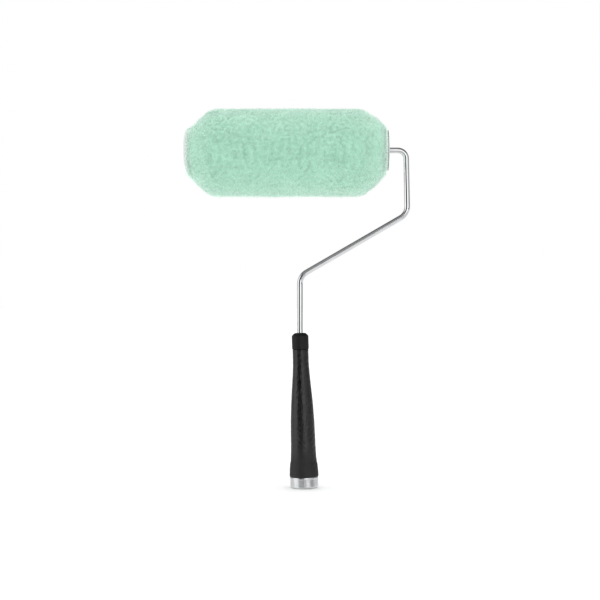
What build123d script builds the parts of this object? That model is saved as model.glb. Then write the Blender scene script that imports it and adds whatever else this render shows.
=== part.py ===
from build123d import *
import math
import os

# A long-nap paint roller. A bent steel rod carries a spinning five-wire cage on its
# axle and a grip on its lower end, and the napped cover pushes onto the cage.
#
# Millimetres. The origin is the centre of the pole socket's mouth, +X runs along the
# roller towards the side where the rod comes out, and +Z runs up the tool.

# --- Driving dimensions -------------------------------------------------------------

# Roller
axle_height = 380.0
cover_length = 228.6
cover_inner_x = 94.2
core_bore_radius = 19.05
core_wall = 1.75
backing_wall = 3.0
glue_line = 0.05
pile_radius = 49.0
pile_inset = 2.45
pile_bevel_length = 25.3
pile_bevel_foot = 1.0

# Frame rod
rod_radius = 3.175
leg_top_x = 114.8
leg_bottom = (116.3, 308.2)
shank_top_z = 238.0
handle_tilt = 1.65
rod_kink_z = 177.0
axle_bend = 9.5
leg_bend = 15.0
kink_bend = 150.0

# Handle, measured along its own axis from the socket's mouth
ferrule_height = 11.8
ferrule_radius = 15.7
grip_top = 155.6
collar_top = 174.0
collar_radius = 9.45
grip_wall = 2.8
bond_gap = 0.05
tang_end = 68.0

# Pole socket thread: 3/4 inch, five turns to the inch, 29 degree flanks
thread_pitch = 5.08
thread_major_radius = 9.525
thread_minor_radius = thread_major_radius - thread_pitch / 2
thread_turns = 5

# Cage
wire_count = 5
wire_radius = 1.2
cap_radius = 18.6
cap_length = 18.0
hub_radius = 8.0
bearing_radius = 5.2
running_clearance = 0.05
end_float = 0.2

os.makedirs("parts", exist_ok=True)


# --- Shared geometry ----------------------------------------------------------------

tilt = math.radians(handle_tilt)
handle_up = Vector(-math.sin(tilt), 0, math.cos(tilt))
handle_side = Vector(math.cos(tilt), 0, math.sin(tilt))

roller_axis = Axis((0, 0, axle_height), (1, 0, 0))
handle_axis = Axis((0, 0, 0), handle_up)

# Half sections: x along the roller and y outwards, or x outwards and y up the handle.
roller_section = Plane(origin=(0, 0, axle_height), x_dir=(1, 0, 0), z_dir=(0, -1, 0))
handle_section = Plane(origin=(0, 0, 0), x_dir=handle_side, z_dir=(0, -1, 0))

cover_outer_x = cover_inner_x - cover_length
flange_x = cover_inner_x + end_float
bore_on_rod = rod_radius + running_clearance


def across_roller(x):
    """The plane square to the roller's axis at x, whose own x direction is up."""
    return Plane(origin=(x, 0, axle_height), x_dir=(0, 0, 1), z_dir=(1, 0, 0))


def across_handle(height):
    """The plane square to the handle's axis at a height along it."""
    return Plane(origin=handle_up * height, x_dir=handle_side, z_dir=handle_up)


def ring(x_low, x_high, radius_low, radius_high):
    """A rectangle in the roller's half section, between two places and two radii."""
    with Locations(((x_low + x_high) / 2, (radius_low + radius_high) / 2)):
        Rectangle(x_high - x_low, radius_high - radius_low)


def save(part, name):
    part.label = name
    export_step(part, f"parts/{name}.step")


# --- Frame rod ----------------------------------------------------------------------

# Depths into the outer cap from its face, where the cage is held endways.
rod_end_depth = 1.3
nut_depth = 3.5
washer_thickness = 0.8
bearing_flange = 1.4
outer_bearing_start = nut_depth + 0.1 + washer_thickness + end_float
outer_bearing_end = cap_length + 4.2
stop_washer_start = outer_bearing_end + end_float
ears_start = stop_washer_start + washer_thickness + 0.1
ear_length = 4.0
ear_thickness = 2.0
ear_reach = 4.9

rod_corners = [
    (cover_outer_x + rod_end_depth, 0, axle_height),
    (leg_top_x, 0, axle_height),
    (leg_bottom[0], 0, leg_bottom[1]),
    (-rod_kink_z * math.tan(tilt), 0, shank_top_z),
    (-rod_kink_z * math.tan(tilt), 0, rod_kink_z),
    handle_up * tang_end,
]
tang_wing_height = 86.0
tang_wing_length = 8.0

with BuildPart() as frame_rod:
    with BuildLine():
        FilletPolyline(*rod_corners, radius=[axle_bend, leg_bend, leg_bend, kink_bend])
    with BuildSketch(across_roller(rod_corners[0][0])):
        Circle(rod_radius)
    sweep()
    outer_rim = frame_rod.edges().filter_by(GeomType.CIRCLE).sort_by(Axis.X)[0]
    chamfer(outer_rim, length=0.5)
    # Two ears swaged out of the axle, which the stop washer rests against.
    with Locations((cover_outer_x + ears_start + ear_length / 2, 0, axle_height)):
        Box(ear_length, ear_thickness, 2 * ear_reach)
    # Two wings swaged out of the tang, which keep it from turning in the handle.
    with Locations(across_handle(tang_wing_height)):
        Box(2 * ear_reach, ear_thickness, tang_wing_length)
save(frame_rod.part, "frame_rod")


# --- Axle hardware ------------------------------------------------------------------

washer_radius = 7.0
nut_radius = 4.9
nut_flange_radius = 6.5
nut_flange = 0.6
nut_roof = 0.7


def axle_washer(name, depth):
    x = cover_outer_x + depth
    with BuildPart() as washer:
        with BuildSketch(roller_section):
            ring(x, x + washer_thickness, bore_on_rod, washer_radius)
        revolve(axis=roller_axis)
    save(washer.part, name)


axle_washer("outer_washer", nut_depth + 0.1)
axle_washer("stop_washer", stop_washer_start)

with BuildPart() as retaining_nut:
    nut_base_x = cover_outer_x + nut_depth
    rod_end_x = cover_outer_x + rod_end_depth
    with BuildSketch(roller_section):
        ring(nut_base_x - nut_flange, nut_base_x, bore_on_rod, nut_flange_radius)
        ring(rod_end_x, nut_base_x, bore_on_rod, nut_radius)
        ring(rod_end_x - nut_roof, rod_end_x, 0, nut_radius)
    revolve(axis=roller_axis)
    nut_crown = retaining_nut.edges().filter_by(GeomType.CIRCLE).sort_by(Axis.X)[0]
    fillet(nut_crown, radius=0.6)
save(retaining_nut.part, "retaining_nut")


# --- Cage caps ----------------------------------------------------------------------

cap_ring_inner_radius = 13.2
cap_web = 3.0
socket_depth = 12.0
socket_radius = wire_radius + 0.05
wire_end_radius = 15.9
rib_thickness = 1.8
flange_radius = 22.9
flange_rim = 0.6
inner_dome_rise = 0.7
outer_web_depth = 8.0
outer_dome_radius = 18.4
outer_dome_rim = 0.6
outer_dome_rise = 0.6


def cap_ribs(x, length):
    """Ribs from the hub to the rim, each midway between two wires."""
    rib_length = cap_ring_inner_radius - hub_radius + 1
    with BuildSketch(across_roller(x)) as ribs:
        with PolarLocations(
            (cap_ring_inner_radius + hub_radius) / 2,
            wire_count,
            start_angle=180 / wire_count,
        ):
            Rectangle(rib_length, rib_thickness)
    extrude(ribs.sketch, amount=length)


def wire_sockets(x, length):
    """Blind holes for the wires' ends, into the cap from its inner end."""
    with BuildSketch(across_roller(x)) as sockets:
        with PolarLocations(wire_end_radius, wire_count):
            Circle(socket_radius)
    extrude(sockets.sketch, amount=length, mode=Mode.SUBTRACT)


with BuildPart() as inner_cap:
    cap_end_x = flange_x - cap_length
    rod_hole_radius = rod_radius + 0.45
    with BuildSketch(roller_section):
        ring(cap_end_x, flange_x, cap_ring_inner_radius, cap_radius)
        ring(flange_x - cap_web, flange_x, bearing_radius, cap_radius)
        ring(cap_end_x, flange_x, bearing_radius, hub_radius)
        with BuildLine():
            crown = (flange_x + flange_rim + inner_dome_rise, rod_hole_radius)
            rim = (flange_x + flange_rim, flange_radius)
            TangentArc(crown, rim, tangent=(0, 1))
            Polyline(rim, (flange_x, flange_radius), (flange_x, rod_hole_radius), crown)
        make_face()
    revolve(axis=roller_axis)
    cap_ribs(cap_end_x + 2, cap_length - 2 - cap_web)
    wire_sockets(cap_end_x, socket_depth)
save(inner_cap.part, "inner_cap")

with BuildPart() as outer_cap:
    cap_end_x = cover_outer_x + cap_length
    web_x = cover_outer_x + outer_web_depth
    hub_start_x = cover_outer_x + outer_bearing_start + bearing_flange
    with BuildSketch(roller_section):
        ring(cover_outer_x, cap_end_x, cap_ring_inner_radius, cap_radius)
        ring(web_x, web_x + cap_web, bearing_radius, cap_radius)
        ring(hub_start_x, cap_end_x + 4, bearing_radius, hub_radius)
    revolve(axis=roller_axis)
    cap_ribs(web_x + cap_web, cap_length - outer_web_depth - cap_web - 2)
    wire_sockets(cap_end_x - socket_depth, socket_depth)
save(outer_cap.part, "outer_cap")

with BuildPart() as outer_dome:
    skirt_radius = cap_ring_inner_radius - 0.05
    with BuildSketch(roller_section):
        ring(cover_outer_x, cover_outer_x + 3, skirt_radius - 1.2, skirt_radius)
        with BuildLine():
            crown = (cover_outer_x - outer_dome_rim - outer_dome_rise, 0)
            rim = (cover_outer_x - outer_dome_rim, outer_dome_radius)
            TangentArc(crown, rim, tangent=(0, 1))
            Polyline(rim, (cover_outer_x, outer_dome_radius), (cover_outer_x, 0), crown)
        make_face()
    revolve(axis=roller_axis)
save(outer_dome.part, "outer_dome")


# --- Cage bearings ------------------------------------------------------------------

bearing_flange_radius = 7.2


def flanged_bearing(name, x_low, x_high, flange_low):
    """A plain bush whose flange is bearing_flange thick and starts at flange_low."""
    with BuildPart() as bearing:
        with BuildSketch(roller_section):
            ring(x_low, x_high, bore_on_rod, bearing_radius)
            ring(flange_low, flange_low + bearing_flange, bore_on_rod, bearing_flange_radius)
        revolve(axis=roller_axis)
    save(bearing.part, name)


flanged_bearing(
    "outer_bearing",
    cover_outer_x + outer_bearing_start,
    cover_outer_x + outer_bearing_end,
    cover_outer_x + outer_bearing_start,
)
flanged_bearing(
    "inner_bearing",
    flange_x - cap_length - bearing_flange,
    flange_x,
    flange_x - cap_length - bearing_flange,
)


# --- Cage wires ---------------------------------------------------------------------

cover_gap = 0.3
wire_bow_radius = core_bore_radius - cover_gap - wire_radius
wire_rise = 26.0
wire_bend = 120.0
socket_floor_gap = 0.1

wire_start_x = cover_outer_x + cap_length - socket_depth + socket_floor_gap
wire_end_x = flange_x - cap_length + socket_depth - socket_floor_gap
outer_cap_x = cover_outer_x + cap_length
inner_cap_x = flange_x - cap_length

for number in range(wire_count):
    turn = math.radians(360 / wire_count * number)
    wire_plane = Plane(
        origin=(0, 0, axle_height),
        x_dir=(1, 0, 0),
        z_dir=(0, -math.cos(turn), -math.sin(turn)),
    )
    wire_foot = wire_plane.from_local_coords((wire_start_x, wire_end_radius))
    with BuildPart() as cage_wire:
        with BuildLine(wire_plane):
            FilletPolyline(
                (wire_start_x, wire_end_radius),
                (outer_cap_x + 4, wire_end_radius),
                (outer_cap_x + wire_rise, wire_bow_radius),
                (inner_cap_x - wire_rise, wire_bow_radius),
                (inner_cap_x - 4, wire_end_radius),
                (wire_end_x, wire_end_radius),
                radius=wire_bend,
            )
        with BuildSketch(Plane(origin=wire_foot, z_dir=(1, 0, 0))):
            Circle(wire_radius)
        sweep()
    save(cage_wire.part, f"cage_wire_{number + 1}")


# --- Cover --------------------------------------------------------------------------

core_radius = core_bore_radius + core_wall
backing_radius = core_radius + glue_line + backing_wall

with BuildPart() as cover_core:
    with BuildSketch(roller_section):
        ring(cover_outer_x, cover_inner_x, core_bore_radius, core_radius)
    revolve(axis=roller_axis)
    fillet(cover_core.edges().filter_by(GeomType.CIRCLE), radius=0.4)
save(cover_core.part, "cover_core")

with BuildPart() as cover_backing:
    with BuildSketch(roller_section):
        backing_root = core_radius + glue_line
        ring(cover_outer_x + 0.3, cover_inner_x - 0.3, backing_root, backing_radius)
    revolve(axis=roller_axis)
    trimmed_ends = cover_backing.edges().filter_by(GeomType.CIRCLE).sort_by(SortBy.RADIUS)[-2:]
    fillet(trimmed_ends, radius=2.8)
save(cover_backing.part, "cover_backing")

with BuildPart() as cover_pile:
    pile_low_x = cover_outer_x + pile_inset
    pile_high_x = cover_inner_x - pile_inset
    pile_root = backing_radius + glue_line
    bevel_foot = pile_root + pile_bevel_foot
    with BuildSketch(roller_section):
        Polygon(
            (pile_low_x, pile_root),
            (pile_low_x, bevel_foot),
            (pile_low_x + pile_bevel_length, pile_radius),
            (pile_high_x - pile_bevel_length, pile_radius),
            (pile_high_x, bevel_foot),
            (pile_high_x, pile_root),
            align=None,
        )
    revolve(axis=roller_axis)
    shoulders = cover_pile.edges().filter_by(GeomType.CIRCLE).sort_by(SortBy.RADIUS)[-2:]
    fillet(shoulders, radius=16)
save(cover_pile.part, "cover_pile")


# --- Pole ferrule -------------------------------------------------------------------

lip_radius = ferrule_radius + 0.2
lip_height = 1.8
spigot_radius = 10.6
spigot_top = 34.5
thread_flank = (thread_major_radius - thread_minor_radius) * math.tan(math.radians(14.5))
thread_flat = thread_pitch / 2 - thread_flank
thread_end = thread_turns * thread_pitch + thread_flat
relief_radius = thread_major_radius + 0.1

# The thread is drawn as rings: from the mouth up, a flat land and then a groove.
thread_outline = [(thread_minor_radius, 0)]
for number in range(thread_turns):
    groove_start = number * thread_pitch + thread_flat
    thread_outline += [
        (thread_minor_radius, groove_start),
        (thread_major_radius, groove_start + thread_flank),
        (thread_major_radius, groove_start + thread_flank + thread_flat),
        (thread_minor_radius, groove_start + 2 * thread_flank + thread_flat),
    ]
thread_outline += [(thread_minor_radius, thread_end), (relief_radius, thread_end)]

with BuildPart() as pole_ferrule:
    with BuildSketch(handle_section):
        Polygon(
            *thread_outline,
            (relief_radius, spigot_top),
            (spigot_radius, spigot_top),
            (spigot_radius, ferrule_height),
            (lip_radius, ferrule_height),
            (lip_radius, ferrule_height - lip_height),
            (ferrule_radius, ferrule_height - lip_height - 0.4),
            (ferrule_radius, 1.2),
            (ferrule_radius - 1.2, 0),
            align=None,
        )
    revolve(axis=handle_axis)
save(pole_ferrule.part, "pole_ferrule")


# --- Handle -------------------------------------------------------------------------

# The grip's radius at heights up the handle: flared at the ferrule, full in the palm,
# and slim under the collar.
grip_bottom = ferrule_height + bond_gap
grip_outline = [
    (16.4, grip_bottom),
    (15.8, 22.5),
    (14.9, 30.5),
    (14.2, 39.0),
    (13.7, 60.0),
    (13.2, 77.5),
    (12.1, 97.0),
    (10.4, 118.0),
    (9.1, 137.0),
    (8.95, grip_top),
]
neck_radius = 6.0
neck_top = 163.0
core_floor = 36.0


def inset_outline(depth):
    """The grip's outline, moved in by a depth."""
    return [(radius - depth, height) for radius, height in grip_outline]


with BuildPart() as handle_grip:
    with BuildSketch(handle_section):
        with BuildLine():
            outside = inset_outline(0)
            inside = inset_outline(grip_wall)
            Spline(*outside)
            Line(outside[-1], inside[-1])
            Spline(*inside)
            Line(inside[0], outside[0])
        make_face()
    revolve(axis=handle_axis)
save(handle_grip.part, "handle_grip")

with BuildPart() as handle_core:
    with BuildSketch(handle_section):
        with BuildLine():
            core_outside = inset_outline(grip_wall + bond_gap)
            Spline(*core_outside)
            Polyline(
                core_outside[-1],
                (neck_radius, grip_top),
                (neck_radius, neck_top),
                (bore_on_rod, neck_top),
                (bore_on_rod, tang_end - 0.1),
                (0, tang_end - 0.1),
                (0, core_floor),
                (spigot_radius + bond_gap, core_floor),
                (spigot_radius + bond_gap, grip_bottom),
                core_outside[0],
            )
        make_face()
    revolve(axis=handle_axis)
    wing_slot = 2 * bond_gap
    with Locations(across_handle(tang_wing_height)):
        Box(
            2 * ear_reach + wing_slot,
            ear_thickness + wing_slot,
            tang_wing_length + wing_slot,
            mode=Mode.SUBTRACT,
        )
save(handle_core.part, "handle_core")

with BuildPart() as handle_collar:
    shoulder = (collar_radius, collar_top - 4.0)
    mouth = (bore_on_rod, collar_top)
    collar_bottom = grip_top + bond_gap
    with BuildSketch(handle_section):
        with BuildLine():
            Line((collar_radius, collar_bottom), shoulder)
            ThreePointArc(shoulder, (collar_radius - 2.2, collar_top - 1.1), mouth)
            Polyline(
                mouth,
                (bore_on_rod, neck_top + bond_gap),
                (neck_radius + bond_gap, neck_top + bond_gap),
                (neck_radius + bond_gap, collar_bottom),
                (collar_radius, collar_bottom),
            )
        make_face()
    revolve(axis=handle_axis)
save(handle_collar.part, "handle_collar")
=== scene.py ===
import math

import bpy
import numpy as np
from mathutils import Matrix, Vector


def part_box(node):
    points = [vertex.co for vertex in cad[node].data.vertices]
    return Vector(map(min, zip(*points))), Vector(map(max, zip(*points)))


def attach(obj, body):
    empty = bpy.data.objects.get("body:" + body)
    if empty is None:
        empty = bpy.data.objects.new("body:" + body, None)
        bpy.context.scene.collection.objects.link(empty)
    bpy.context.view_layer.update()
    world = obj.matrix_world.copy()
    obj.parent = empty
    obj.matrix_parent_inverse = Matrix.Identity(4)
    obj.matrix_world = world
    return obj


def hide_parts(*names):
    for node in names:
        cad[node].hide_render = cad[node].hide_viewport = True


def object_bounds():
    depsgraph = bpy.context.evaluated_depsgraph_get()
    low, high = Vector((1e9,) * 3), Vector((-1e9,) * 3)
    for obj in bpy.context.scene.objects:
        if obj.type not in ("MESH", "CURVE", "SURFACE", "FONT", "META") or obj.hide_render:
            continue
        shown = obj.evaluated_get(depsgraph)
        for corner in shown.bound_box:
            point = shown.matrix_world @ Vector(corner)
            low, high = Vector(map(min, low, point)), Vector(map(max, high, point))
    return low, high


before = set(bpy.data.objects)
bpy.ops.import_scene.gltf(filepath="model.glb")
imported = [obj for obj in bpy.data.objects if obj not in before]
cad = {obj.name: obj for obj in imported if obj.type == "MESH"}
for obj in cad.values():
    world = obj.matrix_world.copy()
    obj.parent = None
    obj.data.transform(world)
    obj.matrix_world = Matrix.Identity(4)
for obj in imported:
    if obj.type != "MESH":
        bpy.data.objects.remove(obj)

# The looks of a long-nap paint roller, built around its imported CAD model.
#
# Metres, in the model's own frame: +X runs along the roller, +Z up the tool, and the
# camera stands on the -Y side. MM turns the millimetres of the sizes below into metres.

MM = 0.001
cad_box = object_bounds()

# --- Driving sizes ------------------------------------------------------------------

# Roller, in millimetres
pile_low, pile_high = (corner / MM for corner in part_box("cover_pile"))
backing_low, backing_high = (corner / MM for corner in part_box("cover_backing"))
axle_height = (pile_low.z + pile_high.z) / 2
roller_middle = (pile_low.x + pile_high.x) / 2
roller_half = (pile_high.x - pile_low.x) / 2
pile_radius = (pile_high.z - pile_low.z) / 2
backing_radius = (backing_high.z - backing_low.z) / 2
backing_wall = 3.0
backing_corner = 2.8
pile_root = backing_radius + 0.05
bevel_length = 25.3
bevel_foot = pile_root + 1.0
shoulder_radius = 22.0
# How far in from each end the nap is painted paler, painted light that lifts its shade
end_light_length = 6.0

# The nap hangs lower than the axle by nap_sag, which grows over the deepest sag_depth of it
nap_sag = 2.9
sag_depth = 8.0

# Handle, in millimetres along its own axis from the pole socket's mouth
handle_tilt = math.radians(1.65)
handle_up = np.array([-math.sin(handle_tilt), 0, math.cos(handle_tilt)])
handle_side = np.array([math.cos(handle_tilt), 0, math.sin(handle_tilt)])
handle_back = np.array([0.0, 1.0, 0.0])
ferrule_height = 11.8
ferrule_radius = 15.7
lip_height = 1.8
grip_bottom = ferrule_height + 0.05
grip_top = 155.6
grip_wall = 2.8
grip_foot_top = 28.0

rng = np.random.default_rng(7)


# --- Meshes -------------------------------------------------------------------------


def make_piece(name, points, faces, body, material):
    """A smooth-shaded mesh that rides on a CAD body.

    The points are in millimetres, and faces is a list of arrays of their numbers.
    """
    mesh = bpy.data.meshes.new(name)
    corners = [face for kind in faces for face in kind.tolist()]
    mesh.from_pydata((points.reshape(-1, 3) * MM).tolist(), [], corners)
    mesh.validate()
    mesh.polygons.foreach_set("use_smooth", [True] * len(mesh.polygons))
    mesh.materials.append(material)
    piece = bpy.data.objects.new(name, mesh)
    bpy.context.scene.collection.objects.link(piece)
    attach(piece, body)
    return piece


def make_ring(name, points, body, material):
    """A closed ring-shaped piece from a grid of points: rows round its section, columns round it."""
    rows, columns = points.shape[:2]
    row = np.arange(rows)[:, None]
    column = np.arange(columns)[None, :]
    next_row = (row + 1) % rows
    next_column = (column + 1) % columns
    corners = [
        row * columns + column,
        row * columns + next_column,
        next_row * columns + next_column,
        next_row * columns + column,
    ]
    faces = np.stack(corners, axis=-1).reshape(-1, 4)
    return make_piece(name, points, [faces], body, material)


def full_turn(columns):
    """Angles evenly round a whole turn."""
    return np.linspace(0, 2 * math.pi, columns, endpoint=False)


def along_handle(radius, height, turn):
    """Points at a radius, a height and a turn about the handle's axis."""
    side = np.cos(turn)[..., None] * handle_side + np.sin(turn)[..., None] * handle_back
    return radius[..., None] * side + height[..., None] * handle_up


def waves(points, size, count, seed):
    """Smooth bumps from -1 to 1 or so, about size across, from count plane waves."""
    source = np.random.default_rng(seed)
    total = 0
    for _ in range(count):
        direction = source.normal(size=3)
        direction /= np.linalg.norm(direction)
        phase = source.uniform(0, 2 * math.pi)
        total = total + np.sin(points @ direction * (2 * math.pi / size) + phase)
    return total / math.sqrt(count)


# --- Materials ----------------------------------------------------------------------


def add_node(tree, kind, inputs=None, **settings):
    """A shader node whose inputs are plain values or other nodes' outputs."""
    made = tree.nodes.new(kind)
    for key, value in settings.items():
        setattr(made, key, value)
    for key, value in (inputs or {}).items():
        if isinstance(value, bpy.types.NodeSocket):
            tree.links.new(value, made.inputs[key])
        else:
            made.inputs[key].default_value = value
    return made


def fill_ramp(ramp, stops):
    """Give a ramp its stops, as (place from 0 to 1, colour)."""
    elements = ramp.color_ramp.elements
    while len(elements) < len(stops):
        elements.new(0.5)
    for element, (place, colour) in zip(elements, stops):
        element.position = place
        element.color = (*colour, 1)


# Nearly all of a noise lies between these
noise_low, noise_high = 0.3, 0.7


class Material:
    """A Principled material whose colour, roughness and bump come from nodes."""

    def __init__(self, name, **values):
        self.material = bpy.data.materials.new(name)
        self.material.use_nodes = True
        self.tree = self.material.node_tree
        self.shader = self.tree.nodes["Principled BSDF"]
        for socket, value in values.items():
            self.shader.inputs[socket.replace("_", " ")].default_value = value
        self.place = self.tree.nodes.new("ShaderNodeTexCoord").outputs["Object"]

    def node(self, kind, inputs=None, **settings):
        return add_node(self.tree, kind, inputs, **settings)

    def stretched(self, factors):
        """The place on the object, scaled along X, Y and Z."""
        mapping = self.node("ShaderNodeMapping", {"Vector": self.place, "Scale": factors})
        return mapping.outputs["Vector"]

    def noise(self, size, detail=2.0, stretch=(1, 1, 1), rough=0.5):
        """Noise from 0 to 1 whose lumps are about size millimetres across."""
        settings = {
            "Vector": self.stretched(stretch),
            "Scale": 1 / (size * MM),
            "Detail": detail,
            "Roughness": rough,
        }
        return self.node("ShaderNodeTexNoise", settings).outputs["Fac"]

    def cells(self, size, stretch=(1, 1, 1)):
        """The distance to the middle of the nearest cell, for pebbled grain."""
        settings = {"Vector": self.stretched(stretch), "Scale": 1 / (size * MM)}
        return self.node("ShaderNodeTexVoronoi", settings).outputs["Distance"]

    def spread(self, value, low, high, start=noise_low, end=noise_high):
        """A value that runs from low to high as the given one runs from start to end."""
        settings = {
            "Value": value,
            "From Min": start,
            "From Max": end,
            "To Min": low,
            "To Max": high,
        }
        return self.node("ShaderNodeMapRange", settings).outputs["Result"]

    def ramp(self, value, stops):
        """Colours at places from 0 to 1."""
        made = self.node("ShaderNodeValToRGB", {"Fac": value})
        fill_ramp(made, stops)
        return made.outputs["Color"]

    def clouded(self, size, dark, light, detail=3):
        """A colour that drifts between two, in clouds about size millimetres across."""
        return self.ramp(self.noise(size, detail), [(noise_low, dark), (noise_high, light)])

    def along(self, axis):
        """The place along X, Y or Z, in metres."""
        return self.node("ShaderNodeSeparateXYZ", {"Vector": self.place}).outputs[axis]

    def math(self, operation, first, second=0.0):
        return self.node("ShaderNodeMath", {0: first, 1: second}, operation=operation).outputs[0]

    def between(self, factor, first, second):
        """A mix of two colours, each a node's output or a plain colour."""
        sockets = bpy.types.NodeSocket
        first, second = (c if isinstance(c, sockets) else (*c, 1) for c in (first, second))
        return self.node("ShaderNodeMix", {0: factor, 6: first, 7: second}, data_type="RGBA").outputs[2]

    def colour(self, socket):
        self.tree.links.new(socket, self.shader.inputs["Base Color"])

    def roughness(self, socket):
        self.tree.links.new(socket, self.shader.inputs["Roughness"])

    def bump(self, height, depth, strength=1.0):
        """Bumps that are about depth millimetres high."""
        settings = {"Height": height, "Distance": depth * MM, "Strength": strength}
        made = self.node("ShaderNodeBump", settings)
        self.tree.links.new(made.outputs["Normal"], self.shader.inputs["Normal"])


def grey(level, tint=(1, 1, 1)):
    return tuple(level * t for t in tint)


def worn_metal(name, dark, light, rough, size, depth, stretch=(1, 1, 1)):
    """Bare or plated metal: clouded tone, uneven polish and fine scratches."""
    made = Material(name, Metallic=1.0)
    scratches = made.noise(size / 12, detail=4, stretch=stretch, rough=0.65)
    made.colour(made.clouded(size, dark, light))
    made.roughness(made.spread(scratches, *rough))
    made.bump(scratches, depth, strength=0.4)
    return made.material


def moulded_plastic(name, dark, light, rough, size, depth):
    """Moulded plastic: slight clouds of colour and a fine satin grain."""
    made = Material(name)
    grain = made.noise(size / 20, detail=3)
    made.colour(made.clouded(size, dark, light))
    made.roughness(made.spread(grain, *rough))
    made.bump(grain, depth, strength=0.5)
    return made.material


zinc_tint = (0.975, 0.985, 1.0)
ferrule_tint = (0.95, 0.985, 1.0)
rod_plating = worn_metal(
    "rod_plating", grey(0.84, zinc_tint), grey(0.93, zinc_tint), (0.03, 0.09), 14, 0.004
)
hardware_steel = worn_metal(
    "hardware_steel", grey(0.52), grey(0.66, zinc_tint), (0.22, 0.4), 6, 0.02
)
wire_steel = worn_metal(
    "wire_steel", grey(0.62, zinc_tint), grey(0.76, zinc_tint), (0.16, 0.3), 8, 0.01
)
drawn_upwards = (1, 1, 0.25)
ferrule_metal = worn_metal(
    "ferrule_metal", grey(0.74, ferrule_tint), grey(0.86, zinc_tint), (0.14, 0.24), 6, 0.02, drawn_upwards
)
bearing_nylon = moulded_plastic(
    "bearing_nylon", (0.68, 0.67, 0.62), (0.78, 0.77, 0.73), (0.3, 0.45), 8, 0.02
)
handle_core_plastic = moulded_plastic(
    "handle_core_plastic", grey(0.02), grey(0.035), (0.4, 0.6), 10, 0.03
)


def make_cap_plastic():
    """The caps and the dome: satin plastic, painted paler in places round the flange's rim, painted light
    that lifts the shade on the rim.
    """
    made = Material("cap_plastic", Specular_IOR_Level=0.2)
    grain = made.noise(0.6, detail=3)
    moulded = made.clouded(12, (0.42, 0.475, 0.45), (0.48, 0.54, 0.51))
    across = {0: made.stretched((0, 1, 1)), 1: (0, 0, axle_height * MM)}
    from_axle = made.node("ShaderNodeVectorMath", across, operation="DISTANCE").outputs["Value"]
    cap_low, cap_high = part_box("inner_cap")
    rim = (cap_high.z - cap_low.z) / 2
    at_rim = made.spread(from_axle, 0, 1, rim - 0.9 * MM, rim - 0.3 * MM)
    # Unevenly paler round the flange's rim: painted light that lifts the shade there
    rim_painted_light = made.math("MULTIPLY", at_rim, made.spread(made.noise(3), 0.4, 1))
    made.colour(made.between(rim_painted_light, moulded, (0.68, 0.73, 0.71)))
    made.roughness(made.spread(grain, 0.5, 0.65))
    made.bump(grain, 0.02, strength=0.5)
    return made.material


def make_core_tube():
    """The cover's tube: pale plastic with the faint spiral of its winding."""
    made = Material("core_tube")
    grain = made.noise(0.8, detail=3, stretch=(0.3, 1, 1))
    made.colour(made.clouded(20, (0.53, 0.58, 0.57), (0.62, 0.66, 0.65)))
    made.roughness(made.spread(grain, 0.4, 0.6))
    made.bump(grain, 0.03, strength=0.5)
    return made.material


def make_collar_plastic():
    """The collar: glossier black plastic with fine lines drawn up its sides."""
    made = Material("collar_plastic", Specular_IOR_Level=0.3)
    lines = made.noise(0.9, detail=3, stretch=(1, 1, 0.08))
    made.colour(made.clouded(7, grey(0.003), grey(0.005)))
    made.roughness(made.spread(lines, 0.42, 0.58))
    made.bump(lines, 0.12, strength=0.5)
    return made.material


def make_grip_rubber():
    """The grip: soft black rubber, pebbled, with long streaks and a duller foot."""
    made = Material("grip_rubber", Specular_IOR_Level=0.54)
    pebbles = made.cells(1.5, stretch=(1, 1, 0.5))
    streaks = made.noise(1.6, detail=4, stretch=(1, 1, 0.1))
    relief = made.math("ADD", made.math("MULTIPLY", streaks, 1.4), pebbles)
    made.colour(made.clouded(14, grey(0.003), grey(0.007, (0.97, 1, 0.99)), detail=4))
    duller = made.spread(made.along("Z"), 0.35, 0, 30 * MM, 50 * MM)
    made.roughness(made.math("ADD", made.spread(streaks, 0.15, 0.3), duller))
    made.bump(relief, 0.12, strength=0.7)
    return made.material


def make_backing_knit():
    """The knitted backing: rows of loops, greyer than the nap."""
    made = Material("backing_knit", Sheen_Weight=0.3)
    loops = made.cells(0.9)
    made.colour(made.clouded(6, (0.37, 0.43, 0.41), (0.44, 0.50, 0.47)))
    made.roughness(made.spread(loops, 0.8, 0.95))
    made.bump(loops, 0.4)
    return made.material


def make_pile_base():
    """The nap's depth, seen between its locks: a darker mint full of short fibres, whose darkness is
    painted shade, and painted paler towards the cover's ends, painted light that lifts their shade."""
    made = Material("pile_base", Sheen_Weight=0.3)
    fibres = made.noise(1.2, detail=5, rough=0.7)
    # The darker mint of the nap's depth is painted shade
    painted_depth_shade = made.clouded(9, (0.20, 0.42, 0.30), (0.26, 0.50, 0.37), detail=2)
    depths = made.between(made.spread(fibres, 0, 1), painted_depth_shade, (0.36, 0.62, 0.48))
    # Paler towards the cover's ends: painted light that lifts the shade there
    from_middle = made.math("ABSOLUTE", made.math("SUBTRACT", made.along("X"), roller_middle * MM))
    base_end_light = made.spread(from_middle, 0, 1, (roller_half - end_light_length) * MM, roller_half * MM)
    made.colour(made.between(base_end_light, depths, (0.72, 0.90, 0.82)))
    made.roughness(made.spread(fibres, 0.8, 0.95))
    made.bump(fibres, 0.8)
    return made.material


fibre_map_name = "OFBake"


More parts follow.
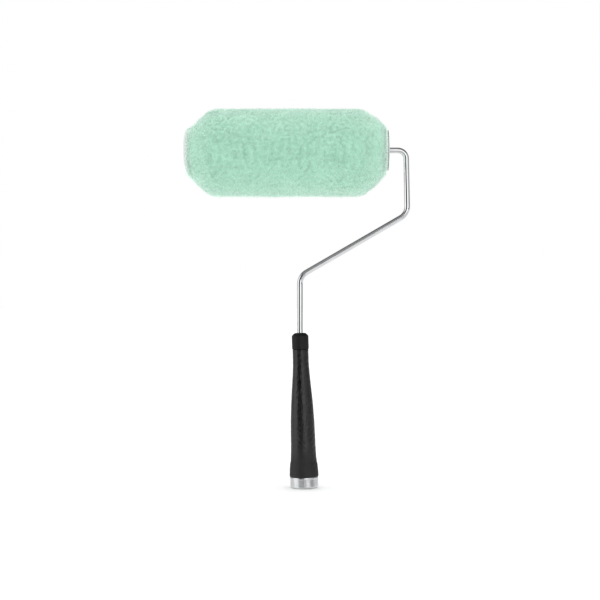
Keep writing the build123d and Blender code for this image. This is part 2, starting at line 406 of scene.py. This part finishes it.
def make_pile_fibre():
    """One fibre, by its map: its own shade across the map, and a darker root, painted shade of the nap's
    depth, to pale tip up it.
    """
    made = Material("pile_fibre", Sheen_Weight=0.25, Sheen_Roughness=0.5)
    fibre_map = made.node("ShaderNodeUVMap", uv_map=fibre_map_name)
    split = made.node("ShaderNodeSeparateXYZ", {"Vector": fibre_map.outputs["UV"]})
    shade, along = split.outputs["X"], split.outputs["Y"]
    # Darker towards the root: painted shade of the nap's depth
    root_painted_shade = made.ramp(shade, [(0, (0.23, 0.45, 0.33)), (1, (0.50, 0.785, 0.635))])
    tip = made.ramp(shade, [(0, (0.51, 0.73, 0.62)), (1, (0.79, 0.945, 0.87))])
    made.colour(made.between(made.spread(along, 0, 1, 0.4, 0.95), root_painted_shade, tip))
    made.roughness(made.spread(along, 0.9, 0.7, 0, 1))
    return made.material


cap_plastic = make_cap_plastic()
grip_rubber = make_grip_rubber()
backing_knit = make_backing_knit()
pile_base = make_pile_base()
pile_fibre = make_pile_fibre()

node_materials = {
    "frame_rod": rod_plating,
    "outer_washer": hardware_steel,
    "stop_washer": hardware_steel,
    "retaining_nut": hardware_steel,
    "handle_core": handle_core_plastic,
    "handle_collar": make_collar_plastic(),
    "inner_cap": cap_plastic,
    "outer_cap": cap_plastic,
    "outer_dome": cap_plastic,
    "inner_bearing": bearing_nylon,
    "outer_bearing": bearing_nylon,
    "cover_core": make_core_tube(),
}
node_materials |= {name: wire_steel for name in cad if name.startswith("cage_wire")}

for name, material in node_materials.items():
    cad[name].data.materials.clear()
    cad[name].data.materials.append(material)


# --- Nap ----------------------------------------------------------------------------


def pile_outline():
    """The nap's outline, as (distance along the roller, radius), from one foot to the other."""
    slope = math.atan2(pile_radius - bevel_foot, bevel_length)
    reach = shoulder_radius * math.tan(slope / 2)
    turns = np.linspace(0, slope, 9)
    shoulder_x = pile_low.x + bevel_length + reach
    along = shoulder_x - shoulder_radius * np.sin(turns[::-1])
    out = pile_radius - shoulder_radius * (1 - np.cos(turns[::-1]))
    left = np.vstack([[pile_low.x, bevel_foot], np.stack([along, out], axis=-1)])
    right = np.stack([2 * roller_middle - left[::-1, 0], left[::-1, 1]], axis=-1)
    return np.vstack([left, right])


outline = pile_outline()
outline_steps = np.linalg.norm(np.diff(outline, axis=0), axis=1)
outline_place = np.concatenate([[0], np.cumsum(outline_steps)])
outline_length = outline_place[-1]


def on_outline(place):
    """(distance along the roller, radius, slope angle) at places along the outline."""
    reach = 2
    places = place, np.minimum(place + reach, outline_length), np.maximum(place - reach, 0)
    x, x_ahead, x_behind = (np.interp(p, outline_place, outline[:, 0]) for p in places)
    radius, radius_ahead, radius_behind = (np.interp(p, outline_place, outline[:, 1]) for p in places)
    return x, radius, np.arctan2(radius_ahead - radius_behind, x_ahead - x_behind)


def round_axle(x, radius, turn):
    """Points about the axle, with the nap's sag."""
    sag = nap_sag * np.clip((radius - pile_root) / sag_depth, 0, 1)
    up = radius * np.cos(turn) + axle_height - sag
    return np.stack([x, radius * np.sin(turn), up], axis=-1)


def hump(distance, width):
    """1 at no distance, and fading smoothly away over a width or two."""
    return np.exp(-((distance / width) ** 2))


# How much fuller the nap is than its outline, all over and on the bevels, and round the rod's
# side and above its axle, and how much thinner it is round the free side and above its axle
fuller_all_over, fuller_bevels = 1.6, 0.8
fuller_rod_side, fuller_above_rod = 0.6, 4.3
thinner_free_side, thinner_above_free = 0.4, 1.0
# The middles and widths of those places, from a foot of the nap
bevel_middle, bevel_width = 14, 9
rod_side_middle, rod_side_width, rod_side_foot = 6, 16, 1.2
free_side_width = 26


def swelling(place, turn):
    """How far the nap stands proud of its plain outline, with soft waves in two sizes."""
    x, radius, _ = on_outline(place)
    points = round_axle(x, radius, turn)
    to_rod_end = outline_length - place
    rod_side = hump(to_rod_end - rod_side_middle, rod_side_width)
    rod_side = rod_side * (1 - np.exp(-to_rod_end / rod_side_foot))
    bevels = hump(np.minimum(place, to_rod_end) - bevel_middle, bevel_width)
    upward = np.cos(turn)
    proud = fuller_all_over + fuller_bevels * bevels
    proud = proud - (thinner_free_side + thinner_above_free * upward) * hump(place, free_side_width)
    proud = proud + (fuller_rod_side + fuller_above_rod * np.clip(upward, 0, 1)) * rod_side
    return proud + 0.4 * waves(points, 34, 8, seed=3) + 0.25 * waves(points, 13, 8, seed=4)


def build_pile_base():
    """The closed body under the fibres, whose lumps fade out towards the backing."""
    rows, columns = 140, 180
    under_tips = 2.6
    off_backing = 0.5
    off_ends = 0.4
    fading = 2
    place = np.concatenate([[0], np.linspace(0, outline_length, rows), [outline_length]])
    x, radius, slope = on_outline(place)
    radius = np.maximum(radius - under_tips * np.cos(slope), pile_root + off_backing)
    x = np.clip(x + under_tips * np.sin(slope), pile_low.x + off_ends, pile_high.x - off_ends)
    radius[[0, -1]] = pile_root
    place, turn = np.meshgrid(place, full_turn(columns), indexing="ij")
    x = np.broadcast_to(x[:, None], place.shape)
    radius = np.broadcast_to(radius[:, None], place.shape)
    fade = np.clip((radius - pile_root) / fading, 0, 1)
    lumps = swelling(place, turn) + 0.4 * waves(round_axle(x, radius, turn), 5, 10, seed=5)
    points = round_axle(x, radius + lumps * fade, turn)
    piece = make_ring("nap_base", points, "cover", pile_base)
    piece.visible_glossy = False
    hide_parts("cover_pile")


# Locks of fibres. Towards its tip a lock draws together by lock_pinch of its width.
lock_spacing = 1.7
lock_radius = lock_spacing * 0.62
lock_pinch = 0.34
fibres_per_lock = 6
# Each fibre: its radius at the root and how much of it the tip loses, how deep it starts, how
# much its tip is trimmed, and how much it drops for each millimetre that it leans
fibre_radius = 0.15
fibre_taper = 0.45
fibre_depth = 6.0
fibre_trim = 0.35
lean_drop = 0.25
fibre_rings = 4
fibre_sides = 3
most_fibres_in_a_piece = 9000
# The used part of the fibres' map, and how far up it the roots by the cover's ends start, painted light
map_low, map_high = 0.02, 0.98
palest_root = 0.9


def scatter_locks():
    """The places along the outline and the turns about the axle of the locks' middles."""
    places, turns = [], []
    rows = round(outline_length / lock_spacing)
    for row in range(rows):
        place = (row + 0.5) / rows * outline_length
        radius = on_outline(np.array([place]))[1][0]
        count = round(2 * math.pi * radius / lock_spacing)
        turn = (np.arange(count) + rng.uniform(-0.4, 0.4, count) + 0.5 * (row % 2)) / count
        turns.append(2 * math.pi * turn)
        places.append(place + rng.uniform(-0.45, 0.45, count) * lock_spacing)
    return np.clip(np.concatenate(places), 0, outline_length), np.concatenate(turns)


def fibre_paths():
    """The middle line of every fibre, its shade from 0 to 1, and how much paler it is painted by the
    cover's ends, painted light that lifts the shade there."""
    lock_place, lock_turn = scatter_locks()
    locks = len(lock_place)
    lock_lean = rng.uniform(0, 2 * math.pi, locks)
    lock_height = rng.normal(0, 0.32, locks)
    lock_shade = rng.uniform(0.36, 0.64, locks)

    lock = np.repeat(np.arange(locks), fibres_per_lock)
    count = len(lock)
    spread = lock_radius * np.sqrt(rng.uniform(0, 1, count))
    bearing = rng.uniform(0, 2 * math.pi, count)
    offset_x, offset_y = spread * np.cos(bearing), spread * np.sin(bearing)

    x, radius, slope = on_outline(lock_place[lock])
    turn = lock_turn[lock]
    surface = round_axle(x, radius, turn)
    lifted = round_axle(x, radius + swelling(lock_place[lock], turn), turn)
    zero = np.zeros(count)
    off_axle = np.stack([zero, np.sin(turn), np.cos(turn)], axis=-1)
    along = np.stack([np.cos(slope), zero, zero], axis=-1) + np.sin(slope)[:, None] * off_axle
    outward = np.stack([-np.sin(slope), zero, zero], axis=-1) + np.cos(slope)[:, None] * off_axle
    around = np.stack([zero, np.cos(turn), -np.sin(turn)], axis=-1)

    depth = np.minimum(fibre_depth, (radius - pile_root) * 0.8)
    height = lock_height[lock] + rng.normal(0, 0.3, count)
    lean = lock_lean[lock] + rng.normal(0, 0.7, count)
    lean_reach = rng.uniform(0.4, 1.7, count)
    curl_turns = rng.uniform(0.5, 1.3, count) * rng.choice([-1, 1], count)
    curl_phase = rng.uniform(0, 2 * math.pi, count)
    curl_reach = rng.uniform(0.25, 0.8, count)
    to_rod_end = outline_length - lock_place[lock]
    splay = 1.6 * hump(to_rod_end, 4) - 0.7 * (1 - np.cos(turn)) * hump(lock_place[lock], 5)

    lines = np.zeros((fibre_rings + 1, count, 3))
    for ring in range(fibre_rings + 1):
        t = ring / fibre_rings
        curl = curl_phase + 2 * math.pi * curl_turns * t
        hold = 1 - lock_pinch * t**1.5
        bend = lean_reach * t**2
        side_x = offset_x * hold + bend * np.cos(lean) + curl_reach * t * np.cos(curl)
        side_y = offset_y * hold + bend * np.sin(lean) + curl_reach * t * np.sin(curl)
        rise = (height - fibre_trim) * t - depth * (1 - t) - lean_drop * bend
        sideways = along * side_x[:, None] + around * side_y[:, None]
        lines[ring] = surface + (lifted - surface) * t + outward * rise[:, None] + sideways
        lines[ring, :, 0] += splay * t

    to_foot = np.minimum(lock_place[lock], to_rod_end)
    # Paler by the cover's ends: painted light that lifts the shade there
    fibre_end_light = 0.35 * hump(to_foot, 4) + 0.65 * hump(to_foot, 17)
    shade = lock_shade[lock] + rng.normal(0, 0.45, count) + 0.14 * waves(surface, 28, 10, seed=6)
    # Fibres by the cover's ends take paler tones too, painted light
    shade = np.clip(shade + 0.4 * fibre_end_light**2, map_low, map_high)
    return lines, shade, fibre_end_light


def fibre_points(lines):
    """A ring of points round every line at each step up it, with one more point at its tip."""
    count = lines.shape[1]
    reference = rng.normal(size=(count, 3))
    points = np.zeros((count, fibre_sides * fibre_rings + 1, 3))
    for ring in range(fibre_rings):
        heading = lines[ring + 1] - lines[max(ring - 1, 0)]
        heading /= np.linalg.norm(heading, axis=1, keepdims=True)
        across = np.cross(heading, reference)
        across /= np.linalg.norm(across, axis=1, keepdims=True)
        other = np.cross(heading, across)
        radius = fibre_radius * (1 - fibre_taper * ring / fibre_rings)
        for corner, turn in enumerate(full_turn(fibre_sides)):
            side = math.cos(turn) * across + math.sin(turn) * other
            points[:, fibre_sides * ring + corner] = lines[ring] + radius * side
    points[:, -1] = lines[-1]
    return points


def fibre_faces():
    """The faces of one fibre: its sides, and its tip with its closed root."""
    quads = []
    for base in range(0, fibre_sides * (fibre_rings - 1), fibre_sides):
        for corner in range(fibre_sides):
            start = base + corner
            following = base + (corner + 1) % fibre_sides
            quads.append([start, following, following + fibre_sides, start + fibre_sides])
    last = fibre_sides * (fibre_rings - 1)
    tip = fibre_sides * fibre_rings
    triangles = [[last, last + 1, tip], [last + 1, last + 2, tip], [last + 2, last, tip], [2, 1, 0]]
    return np.array(quads), np.array(triangles)


def build_fibres():
    """Every fibre, in bands along the roller, each its own piece."""
    lines, shade, fibre_end_light = fibre_paths()
    points = fibre_points(lines)
    quads, triangles = fibre_faces()
    count, each = points.shape[:2]
    order = np.argsort(lines[0, :, 0])
    bands = math.ceil(count / most_fibres_in_a_piece)
    up_fibre = np.append(np.repeat(np.arange(fibre_rings), fibre_sides) / fibre_rings, 1.0)
    up_map = up_fibre * (map_high - map_low) + map_low
    for band, members in enumerate(np.array_split(order, bands)):
        first = (np.arange(len(members)) * each)[:, None, None]
        faces = [(kind[None] + first).reshape(-1, kind.shape[1]) for kind in (quads, triangles)]
        name = f"nap_band_{band + 1:02d}"
        piece = make_piece(name, points[members], faces, "cover", pile_fibre)
        piece.visible_glossy = False
        fibre_map = np.zeros((len(members), each, 2))
        fibre_map[:, :, 0] = shade[members][:, None]
        # Roots by the cover's ends take their tips' paler colour, painted light
        fibre_map[:, :, 1] = up_map + (map_high - up_map) * palest_root * fibre_end_light[members][:, None]
        corner_points = np.zeros(len(piece.data.loops), np.int32)
        piece.data.loops.foreach_get("vertex_index", corner_points)
        layer = piece.data.uv_layers.new(name=fibre_map_name)
        values = fibre_map.reshape(-1, 2)[corner_points]
        layer.data.foreach_set("uv", values.astype(np.float32).ravel())


def build_backing():
    """The knitted backing, with rounded and slightly uneven trimmed ends."""
    columns = 160
    plain_end = 5
    uneven_end = 3
    inner = backing_radius - backing_wall
    turns = np.linspace(0, math.pi / 2, 7)
    rounded_x = backing_corner * (1 - np.sin(turns))
    rounded_radius = backing_radius - backing_corner * (1 - np.cos(turns))
    low_end = np.stack([backing_low.x + rounded_x, rounded_radius], axis=-1)[::-1]
    high_end = np.stack([backing_high.x - rounded_x, rounded_radius], axis=-1)
    along = np.linspace(backing_low.x + plain_end, backing_high.x - plain_end, 40)
    outside = np.stack([along, np.full(len(along), backing_radius)], axis=-1)
    inside = np.stack([along[::-1], np.full(len(along), inner)], axis=-1)
    high_foot, low_foot = (backing_high.x, inner), (backing_low.x, inner)
    section = np.vstack([low_end, outside, high_end, [high_foot], inside, [low_foot]])
    x, turn = np.meshgrid(section[:, 0], full_turn(columns), indexing="ij")
    radius = np.broadcast_to(section[:, 1:], x.shape)
    middle = (backing_low.x + backing_high.x) / 2
    at_ends = np.abs(x - middle) > middle - backing_low.x - uneven_end
    uneven = 0.1 * np.sin(turn * 23) + 0.05 * np.sin(turn * 7 + 1)
    x = x + np.sign(x - middle) * at_ends * (0.1 - uneven)
    points = np.stack([x, radius * np.sin(turn), radius * np.cos(turn) + axle_height], axis=-1)
    piece = make_ring("knit_backing", points, "cover", backing_knit)
    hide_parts("cover_backing")


build_pile_base()
build_fibres()
build_backing()


# --- Handle -------------------------------------------------------------------------

# The grip's radius at heights up the handle
grip_outline = np.array(
    [
        (16.4, grip_bottom),
        (15.8, 22.5),
        (14.9, 30.5),
        (14.2, 39.0),
        (13.7, 60.0),
        (13.2, 77.5),
        (12.1, 97.0),
        (10.4, 118.0),
        (9.1, 137.0),
        (8.95, grip_top),
    ]
)


def smooth_through(heights, table):
    """A smooth radius at heights through a table of (radius, height)."""
    radius, height = table.T
    steps = np.diff(radius) / np.diff(height)
    slopes = np.concatenate([[steps[0]], (steps[1:] + steps[:-1]) / 2, [steps[-1]]])
    index = np.clip(np.searchsorted(height, heights) - 1, 0, len(height) - 2)
    gap = height[index + 1] - height[index]
    t = (heights - height[index]) / gap
    start = (1 + 2 * t) * (1 - t) ** 2 * radius[index] + t * (1 - t) ** 2 * gap * slopes[index]
    end = t**2 * (3 - 2 * t) * radius[index + 1] + t**2 * (t - 1) * gap * slopes[index + 1]
    return start + end


def build_grip():
    """The soft grip: rolled ends, a plain foot with a step above it, and an uneven skin."""
    rows, columns = 170, 120
    edge = 1.1
    step, step_sharpness, step_fade = 0.3, 0.35, 14
    corner = np.linspace(0, math.pi / 2, 6)
    low_edge = grip_bottom + edge * (1 - np.cos(corner))
    side = np.linspace(grip_bottom + edge, grip_top - edge, rows)[1:-1]
    high_edge = grip_top - edge + edge * np.sin(corner)
    height = np.concatenate([low_edge, side, high_edge])
    tuck = edge * (1 - np.sin(corner)), np.zeros(len(side)), edge * (1 - np.cos(corner))
    radius = smooth_through(height, grip_outline) - np.concatenate(tuck)
    above_foot = 1 / (1 + np.exp((grip_foot_top - height) / step_sharpness))
    radius = radius - step * above_foot * np.clip((grip_foot_top + step_fade - height) / step_fade, 0, 1)
    inner_height = np.linspace(grip_top, grip_bottom, 24)
    inner_radius = smooth_through(inner_height, grip_outline) - grip_wall
    skin = np.concatenate([np.clip(height - grip_bottom, 0, 1), np.zeros(len(inner_height))])
    height, turn = np.meshgrid(
        np.concatenate([height, inner_height]), full_turn(columns), indexing="ij"
    )
    radius = np.broadcast_to(np.concatenate([radius, inner_radius])[:, None], height.shape)
    points = along_handle(radius, height, turn)
    ripple = 0.05 * waves(points, 4, 8, seed=11) + 0.04 * waves(points, 2, 8, seed=12)
    points = along_handle(radius + ripple * skin[:, None], height, turn)
    piece = make_ring("grip_sleeve", points, "frame", grip_rubber)
    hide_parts("handle_grip")


# The pole thread, and the ferrule's spigot round it
thread_pitch = 5.08
thread_flank_angle = 14.5
thread_major = 9.525
thread_minor = 6.985
thread_length = 27.3
spigot_top = 34.5
spigot_radius = 10.6


def thread_radius(height, turn):
    """The pole thread: sloping flanks between a flat crest and a flat root."""
    half_groove = 0.25
    depth = thread_major - thread_minor
    phase = (height / thread_pitch - turn / (2 * math.pi)) % 1
    flank = depth * math.tan(math.radians(thread_flank_angle)) / thread_pitch
    rise = np.clip((half_groove + flank / 2 - np.abs(phase - 0.5)) / flank, 0, 1)
    return thread_minor + depth * rise


def build_ferrule():
    """The ferrule: a lipped metal band outside, a spigot in the handle and a screw thread inside."""
    columns = 96
    lip_radius = ferrule_radius + 0.2
    lip_bottom = ferrule_height - lip_height
    mouth_depth, mouth_flare = 1.5, 1.2
    outside = np.array(
        [
            (ferrule_radius - 2.4, 0.0),
            (ferrule_radius - 1.2, 0.0),
            (ferrule_radius - 0.55, 0.2),
            (ferrule_radius - 0.15, 0.65),
            (ferrule_radius, 1.3),
            (ferrule_radius, 1.7),
            (ferrule_radius, 5.5),
            (ferrule_radius, lip_bottom - 0.8),
            (ferrule_radius, lip_bottom - 0.4),
            (lip_radius - 0.05, lip_bottom - 0.15),
            (lip_radius, lip_bottom + 0.3),
            (lip_radius, ferrule_height - 0.4),
            (lip_radius - 0.25, ferrule_height),
            (spigot_radius + 0.2, ferrule_height),
            (spigot_radius, ferrule_height + 0.3),
            (spigot_radius, spigot_top),
            (thread_major + 0.1, spigot_top),
            (thread_major + 0.1, thread_length + 0.4),
        ]
    )
    inside_height = np.linspace(thread_length, 0, 110)
    height, turn = np.meshgrid(
        np.concatenate([outside[:, 1], inside_height]), full_turn(columns), indexing="ij"
    )
    mouth = thread_minor + mouth_flare * np.clip(mouth_depth - height, 0, mouth_depth)
    radius = np.maximum(thread_radius(height, turn), mouth)
    radius[: len(outside)] = outside[:, :1]
    points = along_handle(radius, height, turn)
    piece = make_ring("threaded_ferrule", points, "frame", ferrule_metal)
    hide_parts("pole_ferrule")


build_grip()
build_ferrule()


# --- Studio -------------------------------------------------------------------------

# How bright the even light is, where 1 shows as white, how much dimmer it is on the
# camera's side, the floor's paint under it, and how pale the bounced light makes it seem
soft_light = 1.97
front_dimmer = 0.15
floor_paint = 0.63
floor_seems = 0.93


def build_floor():
    """A wide pale floor that meets the backdrop without a line."""
    made = Material("floor", Roughness=0.9)
    made.colour(made.clouded(300, grey(floor_paint - 0.01), grey(floor_paint), detail=2))
    half = 30
    corners = [(-half, -half, 0), (half, -half, 0), (half, half, 0), (-half, half, 0)]
    mesh = bpy.data.meshes.new("floor")
    mesh.from_pydata(corners, [], [(0, 1, 2, 3)])
    mesh.materials.append(made.material)
    floor = bpy.data.objects.new("floor", mesh)
    floor.location.z = cad_box[0].z - 0.5 * MM
    floor.visible_glossy = False
    bpy.context.scene.collection.objects.link(floor)


def build_bounce_light():
    """Light that comes up off the floor, and makes up for its greyer paint."""
    size = 3.0
    radiance = soft_light * (floor_seems - floor_paint)
    lamp = bpy.data.lights.new("bounce", "AREA")
    lamp.shape = "SQUARE"
    lamp.size = size
    lamp.energy = radiance * math.pi * size**2
    bounce = bpy.data.objects.new("bounce", lamp)
    bounce.location.z = cad_box[0].z - 0.3 * MM
    bounce.rotation_euler = (math.pi, 0, 0)
    bounce.visible_camera = False
    bounce.visible_glossy = False
    bpy.context.scene.collection.objects.link(bounce)


# Brightness that polished surfaces see around them. Stops are (angle in degrees, brightness).
# The turn is from the camera's side, positive towards +X, and the height from the horizon.
panels_on_left = [(-180, 0.6), (-105, 0.6), (-88, 1.5), (-60, 1.5), (-48, 0.7)]
gap_and_main_panel = [(-42, 0.02), (0, 0.02), (4, 1.7), (29, 1.7)]
panels_on_right = [(35, 0.95), (65, 0.95), (78, 0.4), (180, 0.4)]
low_panels_on_right = [(35, 0.7), (41, 0.06), (56, 0.06), (66, 0.5), (90, 0.8), (180, 0.7)]
panels_by_turn = panels_on_left + gap_and_main_panel + panels_on_right
low_panels_by_turn = panels_on_left + gap_and_main_panel + low_panels_on_right
panels_by_height = [
    (-90, 0.3), (-30, 0.3), (-12, 0.7), (-2, 0.7), (-1, 0.8), (24, 0.8), (40, 0.2), (90, 0.2)
]
# Two slanting panels, one low on the right and one high on the left, by the angle round the
# line to the camera, from +X towards +Z
slanting_panels = [
    (-180, 0.0), (-80, 0.0), (-72, 0.8), (-50, 0.8), (-42, 0.0),
    (98, 0.0), (107, 0.28), (131, 0.28), (140, 0.0), (180, 0.0),
]
# What low surfaces see of the table instead
table_by_turn = [
    (-180, 0.72), (-98, 0.76), (-90, 0.97), (-54, 0.95), (-47, 0.56), (22, 0.55),
    (30, 0.64), (54, 0.61), (62, 0.6), (86, 0.6), (96, 0.84), (180, 0.8),
]
# The heights between which the low panels and the table take over
low_panels_edge = (-1.2, -1.8)
table_edge = (-5.9, -6.7)
# How far round the low panels lean per degree below the horizon, from this turn rightwards
panel_lean = 3.0
lean_from = -40


def build_world():
    """A white studio: even soft light, and banks of panels that show in polished surfaces."""
    world = bpy.data.worlds.new("studio")
    bpy.context.scene.world = world
    world.use_nodes = True
    world.cycles.sampling_method = "NONE"
    tree = world.node_tree
    tree.nodes.clear()

    def node(kind, inputs=None, **settings):
        return add_node(tree, kind, inputs, **settings)

    def calculate(operation, *values):
        return node("ShaderNodeMath", dict(enumerate(values)), operation=operation).outputs[0]

    def combine(operation, first, second):
        return node("ShaderNodeVectorMath", {0: first, 1: second}, operation=operation).outputs[0]

    def spread(value, start, end, low=0.0, high=1.0):
        span = {"Value": value, "From Min": start, "From Max": end, "To Min": low, "To Max": high}
        return node("ShaderNodeMapRange", span).outputs["Result"]

    def between(factor, first, second):
        return node("ShaderNodeMix", {0: factor, 6: first, 7: second}, data_type="RGBA").outputs[2]

    def past(edge, angle):
        """0 before an edge's first angle in degrees, and 1 past its second."""
        return spread(angle, *(math.radians(degrees) for degrees in edge))

    def by_angle(angle, stops):
        """Brightness between stops given in degrees."""
        lowest, highest = stops[0][0], stops[-1][0]
        ramp = node("ShaderNodeValToRGB", {"Fac": past((lowest, highest), angle)})
        fill_ramp(ramp, [((d - lowest) / (highest - lowest), grey(level)) for d, level in stops])
        return ramp.outputs["Color"]

    def glow(colour, strength=1.0):
        return node("ShaderNodeBackground", {"Color": colour, "Strength": strength}).outputs[0]

    def switch(rays, others, seen_by_rays):
        return node("ShaderNodeMixShader", {0: rays, 1: others, 2: seen_by_rays}).outputs[0]

    direction = node("ShaderNodeTexCoord").outputs["Generated"]
    x, y, z = node("ShaderNodeSeparateXYZ", {"Vector": direction}).outputs
    turn = calculate("ARCTAN2", x, calculate("MULTIPLY", y, -1.0))
    height = calculate("ARCSINE", z)
    slant = calculate("ARCTAN2", z, x)

    below = calculate("MULTIPLY", calculate("MINIMUM", height, 0.0), past((lean_from, 0), turn))
    leaned = calculate("MULTIPLY_ADD", below, panel_lean, turn)
    high_panels = by_angle(turn, panels_by_turn)
    low_panels = by_angle(leaned, low_panels_by_turn)
    panels = between(past(low_panels_edge, height), high_panels, low_panels)
    panels = combine("MULTIPLY", panels, by_angle(height, panels_by_height))
    panels = between(past(table_edge, height), panels, by_angle(turn, table_by_turn))
    panels = combine("MAXIMUM", panels, by_angle(slant, slanting_panels))

    white = (1, 1, 1, 1)
    dimmest, brightest = soft_light * (1 - front_dimmer), soft_light * (1 + front_dimmer)
    even = glow(white, spread(y, -1.0, 1.0, dimmest, brightest))
    rays = node("ShaderNodeLightPath").outputs
    lit = switch(rays["Is Glossy Ray"], even, glow(panels))
    node("ShaderNodeOutputWorld", {"Surface": switch(rays["Is Camera Ray"], lit, glow(white))})


def build_camera():
    """The camera, level and straight in front of the tool, 1.52 m away."""
    camera = bpy.data.cameras.new("camera")
    camera.sensor_width = 36
    distance = 1.52
    half_view = 0.339
    camera.lens = camera.sensor_width / 2 * distance / half_view
    stand = bpy.data.objects.new("camera", camera)
    stand.location = (-0.005, -distance, 0.211)
    stand.rotation_euler = (math.radians(90), 0, 0)
    bpy.context.scene.collection.objects.link(stand)
    bpy.context.scene.camera = stand


build_floor()
build_bounce_light()
build_world()
build_camera()
bpy.context.scene.view_settings.view_transform = "Standard"
